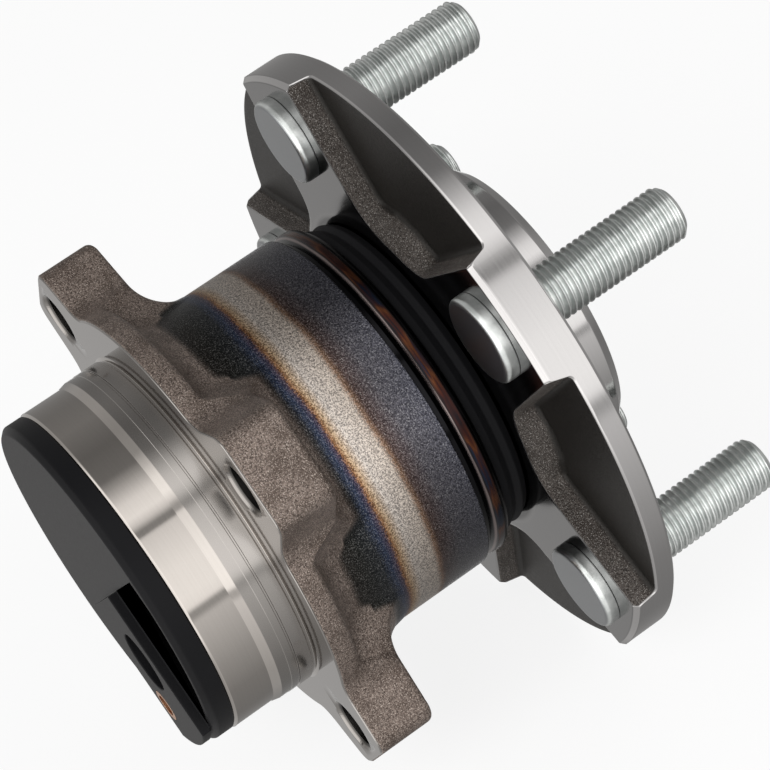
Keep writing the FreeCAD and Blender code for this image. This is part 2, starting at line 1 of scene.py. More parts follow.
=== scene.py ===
import bpy
import bmesh
import math
import numpy as np
from mathutils import Matrix, Vector


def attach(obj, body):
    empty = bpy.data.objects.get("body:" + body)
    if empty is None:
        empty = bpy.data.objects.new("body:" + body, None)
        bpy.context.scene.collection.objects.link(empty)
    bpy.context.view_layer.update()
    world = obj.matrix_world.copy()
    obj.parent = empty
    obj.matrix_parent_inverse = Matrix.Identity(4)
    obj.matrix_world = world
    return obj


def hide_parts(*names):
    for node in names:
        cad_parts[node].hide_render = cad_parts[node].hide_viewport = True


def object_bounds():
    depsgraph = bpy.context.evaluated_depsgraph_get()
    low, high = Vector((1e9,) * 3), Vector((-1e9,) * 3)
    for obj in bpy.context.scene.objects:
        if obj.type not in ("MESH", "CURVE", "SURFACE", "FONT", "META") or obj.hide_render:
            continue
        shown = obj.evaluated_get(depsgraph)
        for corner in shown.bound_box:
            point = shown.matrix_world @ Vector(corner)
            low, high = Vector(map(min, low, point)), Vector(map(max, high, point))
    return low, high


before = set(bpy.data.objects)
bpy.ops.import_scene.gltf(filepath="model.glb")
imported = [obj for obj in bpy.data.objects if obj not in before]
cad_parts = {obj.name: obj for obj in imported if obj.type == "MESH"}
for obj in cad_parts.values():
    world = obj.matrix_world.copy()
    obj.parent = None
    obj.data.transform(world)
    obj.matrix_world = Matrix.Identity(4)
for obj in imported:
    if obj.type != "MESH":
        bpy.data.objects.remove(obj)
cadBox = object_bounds()
scene = bpy.context.scene
print("frame loaded", sorted(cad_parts))

# Lengths of the part are in millimetres, as on a drawing, and become metres when a mesh is made. The
# studio's are in metres. Y is the spin axis, outboard is +Y, and the wheel face lies at y = 0.
mm = 0.001
# Points that are this close, in metres, are one point.
samePoint = 1e-6


# Shader maths: a Socket stands for one output of a node tree, and the usual operators add Math nodes.
class Socket:
    def __init__(self, tree, output):
        self.tree = tree
        self.output = output

    def maths(self, operation, *others):
        operands = dict(enumerate((self,) + others))
        made = addNode(self.tree, "ShaderNodeMath", {"operation": operation}, operands)
        return Socket(self.tree, made.outputs[0])

    def __add__(self, other):
        return self.maths("ADD", other)

    def __radd__(self, other):
        return self.maths("ADD", other)

    def __sub__(self, other):
        return self.maths("SUBTRACT", other)

    def __rsub__(self, other):
        made = addNode(self.tree, "ShaderNodeMath", {"operation": "SUBTRACT"}, {0: other, 1: self})
        return Socket(self.tree, made.outputs[0])

    def __mul__(self, other):
        return self.maths("MULTIPLY", other)

    def __truediv__(self, other):
        return self.maths("DIVIDE", other)

    # 0 below low, 1 above high, smooth between
    def step(self, low, high):
        made = addNode(self.tree, "ShaderNodeMapRange", {"interpolation_type": "SMOOTHSTEP"},
                       {"Value": self, "From Min": low, "From Max": high})
        return Socket(self.tree, made.outputs["Result"])

    # 1 between low and high, falling to 0 over soft on either side
    def band(self, low, high, soft):
        return self.step(low - soft, low + soft) * (1 - self.step(high - soft, high + soft))

    def clamped(self):
        return self.maths("MINIMUM", 1.0).maths("MAXIMUM", 0.0)


# Adds a node: its settings come first, then the values or links of its sockets. A setting called
# stops fills a colour ramp.
def addNode(tree, kind, settings=None, inputs=None):
    made = tree.nodes.new(kind)
    for key, value in (settings or {}).items():
        if key == "stops":
            ramp = made.color_ramp
            for stop in value[len(ramp.elements):]:
                ramp.elements.new(stop[0])
            for element, (place, colour) in zip(ramp.elements, value):
                element.position = place
                element.color = (*colour, 1.0)
        else:
            setattr(made, key, value)
    for key, value in (inputs or {}).items():
        socket = made.inputs[key]
        if isinstance(value, Socket):
            tree.links.new(value.output, socket)
        elif isinstance(value, tuple) and len(value) == 3 and socket.type == "RGBA":
            socket.default_value = (*value, 1.0)
        else:
            socket.default_value = value
    return made


# Mixes two colours, or a colour and a socket, by a factor.
def mixColour(tree, factor, first, second, blend="MIX"):
    made = addNode(tree, "ShaderNodeMix", {"data_type": "RGBA", "blend_type": blend},
                   {0: factor, 6: first, 7: second})
    return Socket(tree, made.outputs[2])


# Starts a material and gives its tree, its surface shader and object places in millimetres.
def newMaterial(name, metallic=0.0, gloss=0.5):
    material = bpy.data.materials.new(name)
    material.use_nodes = True
    tree = material.node_tree
    shader = tree.nodes["Principled BSDF"]
    shader.inputs["Metallic"].default_value = metallic
    shader.inputs["Specular IOR Level"].default_value = gloss
    place = addNode(tree, "ShaderNodeTexCoord")
    scaled = addNode(tree, "ShaderNodeVectorMath", {"operation": "SCALE"},
                     {0: Socket(tree, place.outputs["Object"]), "Scale": 1 / mm})
    parts = addNode(tree, "ShaderNodeSeparateXYZ", None, {0: Socket(tree, scaled.outputs[0])})
    spots = {
        "all": Socket(tree, scaled.outputs[0]),
        "x": Socket(tree, parts.outputs[0]),
        "y": Socket(tree, parts.outputs[1]),
        "z": Socket(tree, parts.outputs[2]),
    }
    spots["radius"] = (spots["x"] * spots["x"] + spots["z"] * spots["z"]).maths("SQRT")
    return material, tree, shader, spots


def noise(tree, place, scale, detail, rough, stretch=None):
    vector = place
    if stretch:
        made = addNode(tree, "ShaderNodeVectorMath", {"operation": "MULTIPLY"}, {0: place, 1: stretch})
        vector = Socket(tree, made.outputs[0])
    made = addNode(tree, "ShaderNodeTexNoise", None,
                   {"Vector": vector, "Scale": scale, "Detail": detail, "Roughness": rough})
    return Socket(tree, made.outputs["Fac"])


def addBump(tree, shader, height, distance):
    made = addNode(tree, "ShaderNodeBump", None,
                   {"Height": height, "Distance": distance * mm, "Strength": 1.0})
    tree.links.new(made.outputs["Normal"], shader.inputs["Normal"])


def feed(tree, shader, key, value):
    tree.links.new(value.output, shader.inputs[key])


# The camera stands where the photograph was taken: a long lens, a little above and behind the part.
cameraPlace = {
    "position": (469.79, -168.18, 382.85),
    "right": (0.509135, 0.801315, -0.314127),
    "up": (-0.414523, 0.548149, 0.726432),
    "back": (0.754289, -0.239639, 0.611246),
    "lens": 140.26,
    "sensor": 36.0,
    "clip": (0.01, 20.0),
}


def addCamera(place):
    data = bpy.data.cameras.new("photoCamera")
    data.lens = place["lens"]
    data.sensor_width = place["sensor"]
    data.clip_start, data.clip_end = place["clip"]
    camera = bpy.data.objects.new("photoCamera", data)
    turn = Matrix((place["right"], place["up"], place["back"])).transposed()
    camera.matrix_world = Matrix.Translation(Vector(place["position"]) * mm) @ turn.to_4x4()
    scene.collection.objects.link(camera)
    scene.camera = camera


studio = {
    "world": 0.55,
    "floor": {"size": 6.0, "colour": (0.92, 0.92, 0.92), "rough": 0.7, "white": 0.85},
    "shell": {
        "radius": 1.2,
        "colour": (1.0, 0.985, 0.97),
        "around": [
            (-180, 0.30), (-140, 0.27), (-110, 0.37), (-85, 0.58), (-65, 0.82), (-50, 1.00), (-46.5, 0.58),
            (-43.5, 0.58), (-40.5, 1.68), (-33, 1.78), (-15, 1.72), (2, 1.46), (11, 1.30), (12.5, 0.42),
            (16, 0.42), (20, 1.25), (25, 1.70), (35, 1.46), (44.5, 0.80), (54, 0.28), (75, 0.22),
            (100, 0.32), (125, 0.27), (180, 0.30)],
        "ends": {"from": 0.80, "soft": 0.06, "glow": 0.50},
        "inboard": [(-0.05, 0.10, 0.24), (0.75, 0.90, 1.1)],
        "opening": -0.965,
    },
    "lamps": [
        {"name": "keyBox", "place": (0.75, -0.75, 0.95), "size": (0.7, 0.5), "power": 9.0},
        {"name": "fillBox", "place": (0.9, 0.8, 0.7), "size": (0.6, 0.6), "power": 5.0},
    ],
}


# A grey shell around the part that only reflections see. Bare steel needs dark and bright surroundings
# to look like steel. Its glow changes with the angle around the spin axis, in degrees from the camera's
# side and positive upwards: a bright window crossed by two thin bars, and grey elsewhere. Towards the
# inboard end the glow rises in two steps. Straight behind the part the shell is open, so that the
# white backdrop still shows.
def addShell(place, settings):
    material, tree, shader, spots = newMaterial("reflectedRoom")
    tree.nodes.remove(shader)
    back = Vector(place["back"])
    along = (Vector((0, 1, 0)) - back * back.y).normalized()
    across = back.cross(along)
    brightest = max(glow for angle, glow in settings["around"])

    def part(direction):
        made = addNode(tree, "ShaderNodeVectorMath", {"operation": "DOT_PRODUCT"},
                       {0: spots["all"], 1: tuple(direction)})
        return Socket(tree, made.outputs["Value"]) / (settings["radius"] / mm)

    turn = part(across).maths("ARCTAN2", part(back)) / (2 * math.pi) + 0.5
    around = addNode(tree, "ShaderNodeValToRGB", {"stops": [
        (angle / 360 + 0.5, (glow / brightest,) * 3) for angle, glow in settings["around"]]}, {0: turn})
    ends = settings["ends"]
    wall = part(along).band(-ends["from"], ends["from"], ends["soft"])
    level = Socket(tree, around.outputs[0]) * brightest * wall + (1 - wall) * ends["glow"]
    inboard = part((0, -1, 0))
    for low, high, added in settings["inboard"]:
        level = level + inboard.step(low, high) * added
    glow = addNode(tree, "ShaderNodeEmission", None, {"Color": settings["colour"], "Strength": level})
    tree.links.new(glow.outputs[0], tree.nodes["Material Output"].inputs["Surface"])
    work = bmesh.new()
    bmesh.ops.create_icosphere(work, subdivisions=5, radius=settings["radius"])
    behind = [face for face in work.faces
              if face.calc_center_median().normalized().dot(back) < settings["opening"]]
    bmesh.ops.delete(work, geom=behind, context="FACES")
    mesh = bpy.data.meshes.new("reflectedRoom")
    work.to_mesh(mesh)
    work.free()
    mesh.materials.append(material)
    shell = bpy.data.objects.new("reflectedRoom", mesh)
    scene.collection.objects.link(shell)
    shell.visible_camera = False
    shell.visible_diffuse = False
    shell.visible_shadow = False
    shell.visible_transmission = False


def addLamp(lamp):
    data = bpy.data.lights.new(lamp["name"], "AREA")
    data.shape = "RECTANGLE"
    data.size, data.size_y = lamp["size"]
    data.energy = lamp["power"]
    thing = bpy.data.objects.new(lamp["name"], data)
    thing.location = lamp["place"]
    thing.rotation_euler = Vector(lamp["place"]).to_track_quat("Z", "Y").to_euler()
    thing.visible_glossy = False
    scene.collection.objects.link(thing)


# Gives a shader that camera and mirror rays see as white, with the plain surface for all other rays.
def whiteToRays(tree, plain, share=1.0):
    path = addNode(tree, "ShaderNodeLightPath")
    seen = Socket(tree, path.outputs["Is Camera Ray"]) + Socket(tree, path.outputs["Is Glossy Ray"])
    seen = (seen + Socket(tree, path.outputs["Is Transmission Ray"])).clamped() * share
    glow = addNode(tree, "ShaderNodeEmission", None, {"Color": (1.0, 1.0, 1.0), "Strength": 1.0})
    mix = addNode(tree, "ShaderNodeMixShader", None, {0: seen})
    tree.links.new(plain, mix.inputs[1])
    tree.links.new(glow.outputs[0], mix.inputs[2])
    return mix.outputs[0]


def addFloor(settings):
    lowest = cadBox[0][2]
    half = settings["size"] / 2
    corners = [(-half, -half, lowest), (half, -half, lowest), (half, half, lowest), (-half, half, lowest)]
    mesh = bpy.data.meshes.new("studioFloor")
    mesh.from_pydata(corners, [], [(0, 1, 2, 3)])
    floor = bpy.data.objects.new("studioFloor", mesh)
    scene.collection.objects.link(floor)
    material = bpy.data.materials.new("paleFloor")
    material.use_nodes = True
    tree = material.node_tree
    surface = tree.nodes["Principled BSDF"]
    surface.inputs["Base Color"].default_value = (*settings["colour"], 1.0)
    surface.inputs["Roughness"].default_value = settings["rough"]
    seen = whiteToRays(tree, surface.outputs[0], settings["white"])
    tree.links.new(seen, tree.nodes["Material Output"].inputs["Surface"])
    mesh.materials.append(material)
    floor.visible_glossy = False


def addStudio(settings):
    world = bpy.data.worlds.new("studioWorld")
    scene.world = world
    world.use_nodes = True
    tree = world.node_tree
    plain = tree.nodes["Background"]
    plain.inputs["Color"].default_value = (1.0, 1.0, 1.0, 1.0)
    plain.inputs["Strength"].default_value = settings["world"]
    tree.links.new(whiteToRays(tree, plain.outputs[0]), tree.nodes["World Output"].inputs["Surface"])
    addFloor(settings["floor"])
    for lamp in settings["lamps"]:
        addLamp(lamp)
    addShell(cameraPlace, settings["shell"])


scene.view_settings.view_transform = "Standard"
addCamera(cameraPlace)
addStudio(studio)
print("camera and studio ready")


# Rounds the corners of an outline. Each corner is (along, radius, rounding). A corner becomes an arc
# tangent to both sides, with one point more on each side, so that flats stay flat when shaded.
def roundedOutline(corners, steps, closed=True):
    guard = 0.15
    corners = np.array(corners, float)
    points = []
    last = len(corners) - 1
    for i, (along, radius, rounding) in enumerate(corners):
        here = np.array([along, radius])
        if rounding <= 0 or (not closed and i in (0, last)):
            points.append(here)
            continue
        before = corners[i - 1, :2] - here
        after = corners[(i + 1) % len(corners), :2] - here
        reach = min(np.linalg.norm(before), np.linalg.norm(after))
        before = before / np.linalg.norm(before)
        after = after / np.linalg.norm(after)
        half = 0.5 * math.acos(np.clip(before @ after, -1, 1))
        length = min(rounding / math.tan(half), 0.45 * reach)
        middle = (before + after) / np.linalg.norm(before + after)
        centre = here + middle * length / math.cos(half)
        start = here + before * length - centre
        end = here + after * length - centre
        sweep = math.pi - 2 * half
        share = np.linspace(0, 1, steps + 1)[:, None]
        arc = (np.sin((1 - share) * sweep) * start + np.sin(share * sweep) * end) / math.sin(sweep)
        extra = min(guard, 0.04 * reach)
        points.append(here + before * (length + extra))
        points.extend(centre + arc)
        points.append(here + after * (length + extra))
    return np.array(points)


# Points about the Y axis: x = r sin(angle), z = r cos(angle).
def aroundAxis(along, radius, angles):
    return np.stack([radius * np.sin(angles), along + 0 * angles, radius * np.cos(angles)], axis=-1)


def turnedGrid(outline, angles):
    return aroundAxis(outline[:, :1], outline[:, 1:], angles)


def roundAngles(count):
    return np.linspace(0, 2 * np.pi, count, endpoint=False)


# Point numbers of a grid whose last column joins its first, and its last row too where rows close.
def gridIndex(grid, closedRows):
    rows, columns = grid.shape[:2]
    index = np.arange(rows * columns).reshape(rows, columns)
    index = np.concatenate([index, index[:, :1]], axis=1)
    if closedRows:
        index = np.concatenate([index, index[:1]], axis=0)
    return index


# Makes a mesh of quads from a grid of points in millimetres and turns its faces outwards.
def gridPiece(name, grid, body, material, replaces, closedRows=True):
    index = gridIndex(grid, closedRows)
    quads = np.stack([index[:-1, :-1], index[:-1, 1:], index[1:, 1:], index[1:, :-1]], axis=-1).reshape(-1, 4)
    places = grid.reshape(-1, 3) * mm
    corner = places[quads]
    volume = np.einsum("ij,ij->", corner[:, 0], np.cross(corner[:, 1], corner[:, 2]))
    volume += np.einsum("ij,ij->", corner[:, 0], np.cross(corner[:, 2], corner[:, 3]))
    if volume < 0:
        quads = quads[:, ::-1]
    mesh = bpy.data.meshes.new(name)
    mesh.vertices.add(len(places))
    mesh.vertices.foreach_set("co", places.ravel())
    mesh.loops.add(quads.size)
    mesh.loops.foreach_set("vertex_index", quads.ravel().astype(np.int32))
    mesh.polygons.add(len(quads))
    mesh.polygons.foreach_set("loop_start", np.arange(0, quads.size, 4, dtype=np.int32))
    mesh.update(calc_edges=True)
    mesh.validate()
    return placePiece(name, mesh, body, material, replaces)


def placePiece(name, mesh, body, material, replaces=()):
    mesh.materials.clear()
    mesh.materials.append(material)
    mesh.polygons.foreach_set("use_smooth", np.ones(len(mesh.polygons), dtype=bool))
    piece = bpy.data.objects.new(name, mesh)
    scene.collection.objects.link(piece)
    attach(piece, body)
    if replaces:
        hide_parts(*replaces)
    print("made", name, len(mesh.polygons), "faces")
    return piece


# Joins points that fall together, which closes the poles of a grid that starts or ends on the axis.
def closePoles(piece):
    work = bmesh.new()
    work.from_mesh(piece.data)
    bmesh.ops.remove_doubles(work, verts=work.verts, dist=samePoint)
    work.to_mesh(piece.data)
    work.free()


# The larger of two heights, with a round valley of the given width where they meet.
def softMax(first, second, width):
    overlap = np.clip(width - np.abs(first - second), 0, None) / width
    return np.maximum(first, second) + overlap * overlap * width / 4


def softMin(first, second, width):
    return -softMax(-first, -second, width)


# Outer ring: a turned barrel and spigot, with a forged flange of four lobes for the knuckle.
outerRing = {
    "face": -65.6,
    "barrel": 40.0,
    "baseRadius": 48.0,
    "baseBack": -60.3,
    "baseFillet": 7.5,
    "lobeAngles": (-135.2, -50.5, 50.5, 135.2),
    "lobeReach": 60.1,
    "lobeBack": -52.3,
    "lobeTip": 10.3,
    "lobeRoot": (17.6, 36.6),
    "lobeCorner": 4.0,
    "lobeFillet": 8.0,
    "lobeBackFillet": 8.5,
    "lobeSteepness": 3.2,
    "lobeInset": 0.4,
    "lobeBrow": 2.0,
    "lobeValley": 3.5,
    "backEdge": 1.6,
    "faceChamfer": 0.5,
    "faceBorder": 1.2,
    "holeCircle": 52.0,
    "holeRadius": 5.25,
    "holeChamfer": 0.85,
    "mouth": [
        (-28.0, 35.45, 0), (-28.0, 36.0, 0.1), (-21.7, 36.0, 0.2), (-21.7, 38.6, 0.3), (-23.1, 38.6, 0.2),
        (-23.1, 40.0, 0.35), (-24.2, 40.0, 0)],
    "spigot": [
        (-65.6, 42.0, 0), (-65.6, 39.3, 0.12), (-65.95, 38.45, 0.1), (-66.5, 38.45, 0.1), (-66.75, 38.8, 0.1),
        (-69.75, 38.8, 0.06), (-69.85, 38.5, 0.05), (-70.2, 38.5, 0.05), (-70.3, 38.8, 0.06),
        (-71.85, 38.8, 0.05), (-71.92, 38.72, 0.03), (-74.3, 38.72, 0.2), (-76.2, 38.25, 0.2),
        (-84.95, 38.25, 0.2), (-85.5, 37.7, 0.15), (-85.5, 36.0, 0.1), (-75.0, 36.0, 0.1),
        (-75.0, 35.45, 0.1), (-61.83, 35.45, 0.2), (-57.38, 31.0, 0.2), (-45.62, 31.0, 0.2),
        (-41.17, 35.45, 0.2), (-29.0, 35.45, 0)],
}


def roundPoints(angles):
    return np.stack([np.sin(angles), np.cos(angles)], axis=1)


# The corner where a lobe's flank starts, and the flank's direction towards the axis.
def lobeFlank(size):
    tip = np.array([size["lobeTip"], size["lobeReach"]])
    along = np.array(size["lobeRoot"]) - tip
    return tip, along / np.linalg.norm(along)


# Half of a lobe's outline in its own frame, across and up: flat tip, corner arc, straight flank, and
# the concave arc that runs into the flange's round edge. It ends at the middle of the gap.
def halfLobe(size, gap):
    tip, along = lobeFlank(size)
    normal = np.array([-along[1], along[0]])
    corner = size["lobeCorner"]
    turn = math.acos(np.clip(normal[1], -1, 1))
    length = corner * math.tan(turn / 2)
    cornerCentre = tip + np.array([-length, -corner])
    cornerArc = cornerCentre + corner * roundPoints(np.linspace(0, turn, 9))
    reach = size["baseRadius"] + size["lobeFillet"]
    start = tip + normal * size["lobeFillet"]
    middle = start @ along
    travel = -middle - math.sqrt(middle ** 2 - start @ start + reach ** 2)
    filletCentre = start + along * travel
    flankEnd = filletCentre - normal * size["lobeFillet"]
    flankStart = cornerArc[-1]
    flank = flankStart + (flankEnd - flankStart) * np.linspace(0, 1, 14)[1:, None]
    roundEnd = filletCentre * size["baseRadius"] / reach
    first = math.atan2(-normal[0], -normal[1])
    second = math.atan2(*(roundEnd - filletCentre))
    sweep = (second - first + math.pi) % (2 * math.pi) - math.pi
    fillet = filletCentre + size["lobeFillet"] * roundPoints(first + sweep * np.linspace(0, 1, 16)[1:])
    endAngle = math.atan2(*roundEnd)
    edge = size["baseRadius"] * roundPoints(np.linspace(endAngle, math.radians(gap), 26)[1:])
    flat = np.stack([np.linspace(0, cornerArc[0, 0], 7)[:-1], np.full(6, size["lobeReach"])], axis=1)
    return np.concatenate([flat, cornerArc, flank, fillet, edge])


# The whole flange outline as (angle, radius), once around.
def flangeOutline(size):
    lobes = size["lobeAngles"]
    angles = []
    radii = []
    for i, lobe in enumerate(lobes):
        after = (lobes[(i + 1) % 4] - lobe) % 360 / 2
        before = (lobe - lobes[i - 1]) % 360 / 2
        left = halfLobe(size, before)[:0:-1]
        right = halfLobe(size, after)[:-1]
        for side, half in ((-1, left), (1, right)):
            angles.append(math.radians(lobe) + side * np.arctan2(half[:, 0], half[:, 1]))
            radii.append(np.hypot(half[:, 0], half[:, 1]))
    return np.concatenate(angles), np.concatenate(radii)


# Height of the flange's back at a radius and an angle: the base ring's hollow fillet, raised to the
# lobe's back where the point lies inside a lobe's flanks, with soft forged steps between.
def flangeBack(size, radius, angle):
    def climb(back, fillet):
        reach = np.clip(size["barrel"] + fillet - radius, 0, fillet)
        return back + fillet - np.sqrt(fillet ** 2 - reach ** 2)

    height = climb(size["baseBack"], size["baseFillet"])
    top = climb(size["lobeBack"], size["lobeBackFillet"])
    tip, along = lobeFlank(size)
    for lobe in size["lobeAngles"]:
        turn = angle - math.radians(lobe)
        across = np.abs(radius * np.sin(turn)) - tip[0]
        up = radius * np.cos(turn) - tip[1]
        outside = across * -along[1] + up * along[0]
        wall = top - size["lobeSteepness"] * (outside + size["lobeInset"])
        lobeTop = np.where(np.cos(turn) > 0, softMin(top, wall, size["lobeBrow"]), 2 * size["face"])
        height = softMax(height, lobeTop, size["lobeValley"])
    return height


def ringGrid(size):
    angles, outer = flangeOutline(size)
    rows = []

    def addRow(along, radius):
        rows.append(aroundAxis(along, radius, angles))

    outboard = roundedOutline(size["mouth"], steps=3, closed=False)
    for along, radius in outboard:
        addRow(along, radius)
    start = size["mouth"][-1][0]
    junction = flangeBack(size, size["barrel"], angles)
    for share in np.linspace(0, 1, 30)[1:-1]:
        addRow(start + (junction - start) * share, size["barrel"])
    edge = size["backEdge"]
    for share in np.linspace(0, 1, 34):
        radius = size["barrel"] + (outer - edge - size["barrel"]) * share
        addRow(flangeBack(size, radius, angles), radius)
    edgeHeight = flangeBack(size, outer - edge, angles)
    for turn in np.radians([15, 30, 45, 60, 75, 90]):
        addRow(edgeHeight - edge * (1 - np.cos(turn)), outer - edge * (1 - np.sin(turn)))
    chamfer = size["faceChamfer"]
    wallEnd = size["face"] + chamfer
    for share in (0.15, 0.35, 0.6, 0.85, 0.96, 1.0):
        addRow(edgeHeight - edge + (wallEnd - edgeHeight + edge) * share, outer)
    for share in (0.12, 0.5, 0.88, 1.0):
        addRow(wallEnd - chamfer * share, outer - chamfer * share)
    border = outer - size["faceBorder"]
    seat = size["spigot"][0][1]
    addRow(size["face"], outer - 0.62)
    for share in (0, 0.35, 0.7):
        addRow(size["face"], border + (seat - border) * share)
    inboard = roundedOutline(size["spigot"], steps=3, closed=False)
    for along, radius in inboard:
        addRow(along, radius)
    return np.array(rows)


# Cuts round shapes out of a piece and keeps the result as the piece's own mesh.
def cutWith(piece, cutters):
    for cutter in cutters:
        change = piece.modifiers.new(cutter.name, "BOOLEAN")
        change.operation = "DIFFERENCE"
        change.solver = "EXACT"
        change.object = cutter
    bpy.context.view_layer.update()
    settled = piece.evaluated_get(bpy.context.evaluated_depsgraph_get())
    mesh = bpy.data.meshes.new_from_object(settled)
    piece.modifiers.clear()
    old = piece.data
    piece.data = mesh
    bpy.data.meshes.remove(old)
    for cutter in cutters:
        bpy.data.objects.remove(cutter)


# A cutter for a round hole along Y: a rod with a flare at each of its two mouths.
def holeCutter(name, place, start, end, radius, flare):
    beyond = 2.0
    mouth = radius + flare
    outline = np.array([
        (start - beyond, 0.0), (start - beyond, mouth + beyond), (start, mouth), (start + flare, radius),
        (end - flare, radius), (end, mouth), (end + beyond, mouth + beyond), (end + beyond, 0.0)])
    grid = turnedGrid(outline, roundAngles(64))
    grid[..., 0] += place[0]
    grid[..., 2] += place[1]
    index = gridIndex(grid, closedRows=False)
    quads = np.stack([index[:-1, :-1], index[1:, :-1], index[1:, 1:], index[:-1, 1:]], axis=-1).reshape(-1, 4)
    mesh = bpy.data.meshes.new(name)
    mesh.from_pydata((grid.reshape(-1, 3) * mm).tolist(), [], quads.tolist())
    work = bmesh.new()
    work.from_mesh(mesh)
    bmesh.ops.remove_doubles(work, verts=work.verts, dist=samePoint)
    bmesh.ops.recalc_face_normals(work, faces=work.faces)
    work.to_mesh(mesh)
    work.free()
    cutter = bpy.data.objects.new(name, mesh)
    scene.collection.objects.link(cutter)
    return cutter


def makeOuterRing(size, material):
    piece = gridPiece("outerRing", ringGrid(size), "outer", material, replaces=("outer_ring",))
    cutters = []
    for number, lobe in enumerate(size["lobeAngles"]):
        turn = math.radians(lobe)
        place = (size["holeCircle"] * math.sin(turn), size["holeCircle"] * math.cos(turn))
        cutters.append(holeCutter("lobeHole%d" % number, place, size["face"], size["lobeBack"],
                                  size["holeRadius"], size["holeChamfer"]))
    cutWith(piece, cutters)


# Wheel hub: a flange with five forged pockets between the stud pads, a pilot and a spindle.
wheelHub = {
    "studs": 5,
    "phase": 52.65,
    "rim": 71.0,
    "padFace": -10.2,
    "pocketDepth": 5.2,
    "padRim": 13.2,
    "padRoot": 15.6,
    "pocketMouth": 40.0,
    "pocketFoot": 44.0,
    "sideRun": 0.7,
    "endRun": 4.2,
    "cornerRound": 5.0,
    "topRound": 0.7,
    "footRound": 1.6,
    "easeLead": 0.8,
    "easeTail": 1.4,
    "blend": 5.0,
    "rimChamfer": 1.0,
    "pocketChamfer": 0.35,
    "pilot": [
        (4.0, 0.001, 0), (4.0, 19.0, 3.0), (18.0, 25.5, 0.6), (18.0, 31.1, 0.3), (15.6, 33.5, 0.4),
        (1.7, 33.5, 0.3), (1.5, 33.0, 0.2), (0.0, 33.0, 0.15), (0.0, 70.35, 0.25), (-0.65, 71.0, 0.3),
        (-1.6, 71.0, 0)],
    "spindle": [
        (-10.2, 33.5, 0), (-14.2, 29.5, 0.8), (-29.5, 29.5, 0.2), (-29.5, 26.8, 0.3), (-31.58, 26.8, 0.3),
        (-35.83, 22.55, 0.3), (-52.0, 22.55, 0.2), (-52.0, 18.0, 0.3), (-78.0, 18.0, 0.2), (-78.0, 23.0, 0.3),
        (-80.3, 23.0, 0.5), (-81.5, 21.8, 0.3), (-81.5, 7.0, 0.3), (-76.5, 0.001, 0)],
}


# How fast a pad's sides widen towards the axis, and where they would meet it.
def padSides(size):
    slope = (size["padRoot"] - size["padRim"]) / (size["rim"] - size["pocketFoot"])
    return slope, size["padRim"] + slope * size["rim"]


# Angles of the columns in one half sector for each row's radius, in radians from the stud's own
# radius. They bunch where a pad's side wall falls into the pocket, so the wall's edge stays crisp.
def halfSector(size, radius):
    slope, offset = padSides(size)
    lean = math.atan(slope)
    length = math.hypot(1, slope)
    radius = np.maximum(radius, size["pocketMouth"] + 2.0)[:, None]
    wall = np.linspace(-1.0, size["sideRun"] + size["footRound"] + 0.2, 18)
    wallAngles = np.arcsin((offset + wall * length) / (radius * length)) - lean
    start = wallAngles[:, :1] * np.linspace(0, 1, 12)[:-1]
    middle = math.pi / size["studs"]
    finish = wallAngles[:, -1:] + (middle - wallAngles[:, -1:]) * np.linspace(0, 1, 16)[1:]
    return np.concatenate([start, wallAngles, finish], axis=1)


# Drop below the pad's face: a rounded brow, a steep side wall or a sloping end wall, then a round foot.
# The distance into the pocket comes from the pad's side and the pocket's end, joined by a corner arc.
def pocketDrop(size, radius, angle):
    slope, offset = padSides(size)
    side = (radius * np.sin(angle) + slope * radius * np.cos(angle) - offset) / math.hypot(1, slope)
    end = radius - size["pocketMouth"]
    corner = size["cornerRound"]
    fromSide = corner - side
    fromEnd = corner - end
    inCorner = (fromSide > 0) & (fromEnd > 0)
    inside = np.where(inCorner, corner - np.hypot(fromSide, fromEnd), np.minimum(side, end))
    share = np.clip((side - end) / size["blend"] + 0.5, 0, 1)
    share = share * share * (3 - 2 * share)
    run = size["sideRun"] + (size["endRun"] - size["sideRun"]) * share
    depth = size["pocketDepth"]
    brow = size["topRound"]
    foot = size["footRound"]
    top = brow - np.sqrt(np.clip(brow ** 2 - np.clip(inside + brow, 0, brow) ** 2, 0, None))
    wall = brow + (depth - brow - foot) * np.clip(inside / run, 0, 1)
    floor = depth - foot + np.sqrt(np.clip(foot ** 2 - np.clip(run + foot - inside, 0, foot) ** 2, 0, None))
    steep = np.where(inside < 0, top, np.where(inside < run, wall, floor))
    ease = np.clip((inside + size["easeLead"]) / (run + size["easeLead"] + size["easeTail"]), 0, 1)
    gentle = depth * ease * ease * (3 - 2 * ease)
    return steep * (1 - share) + gentle * share


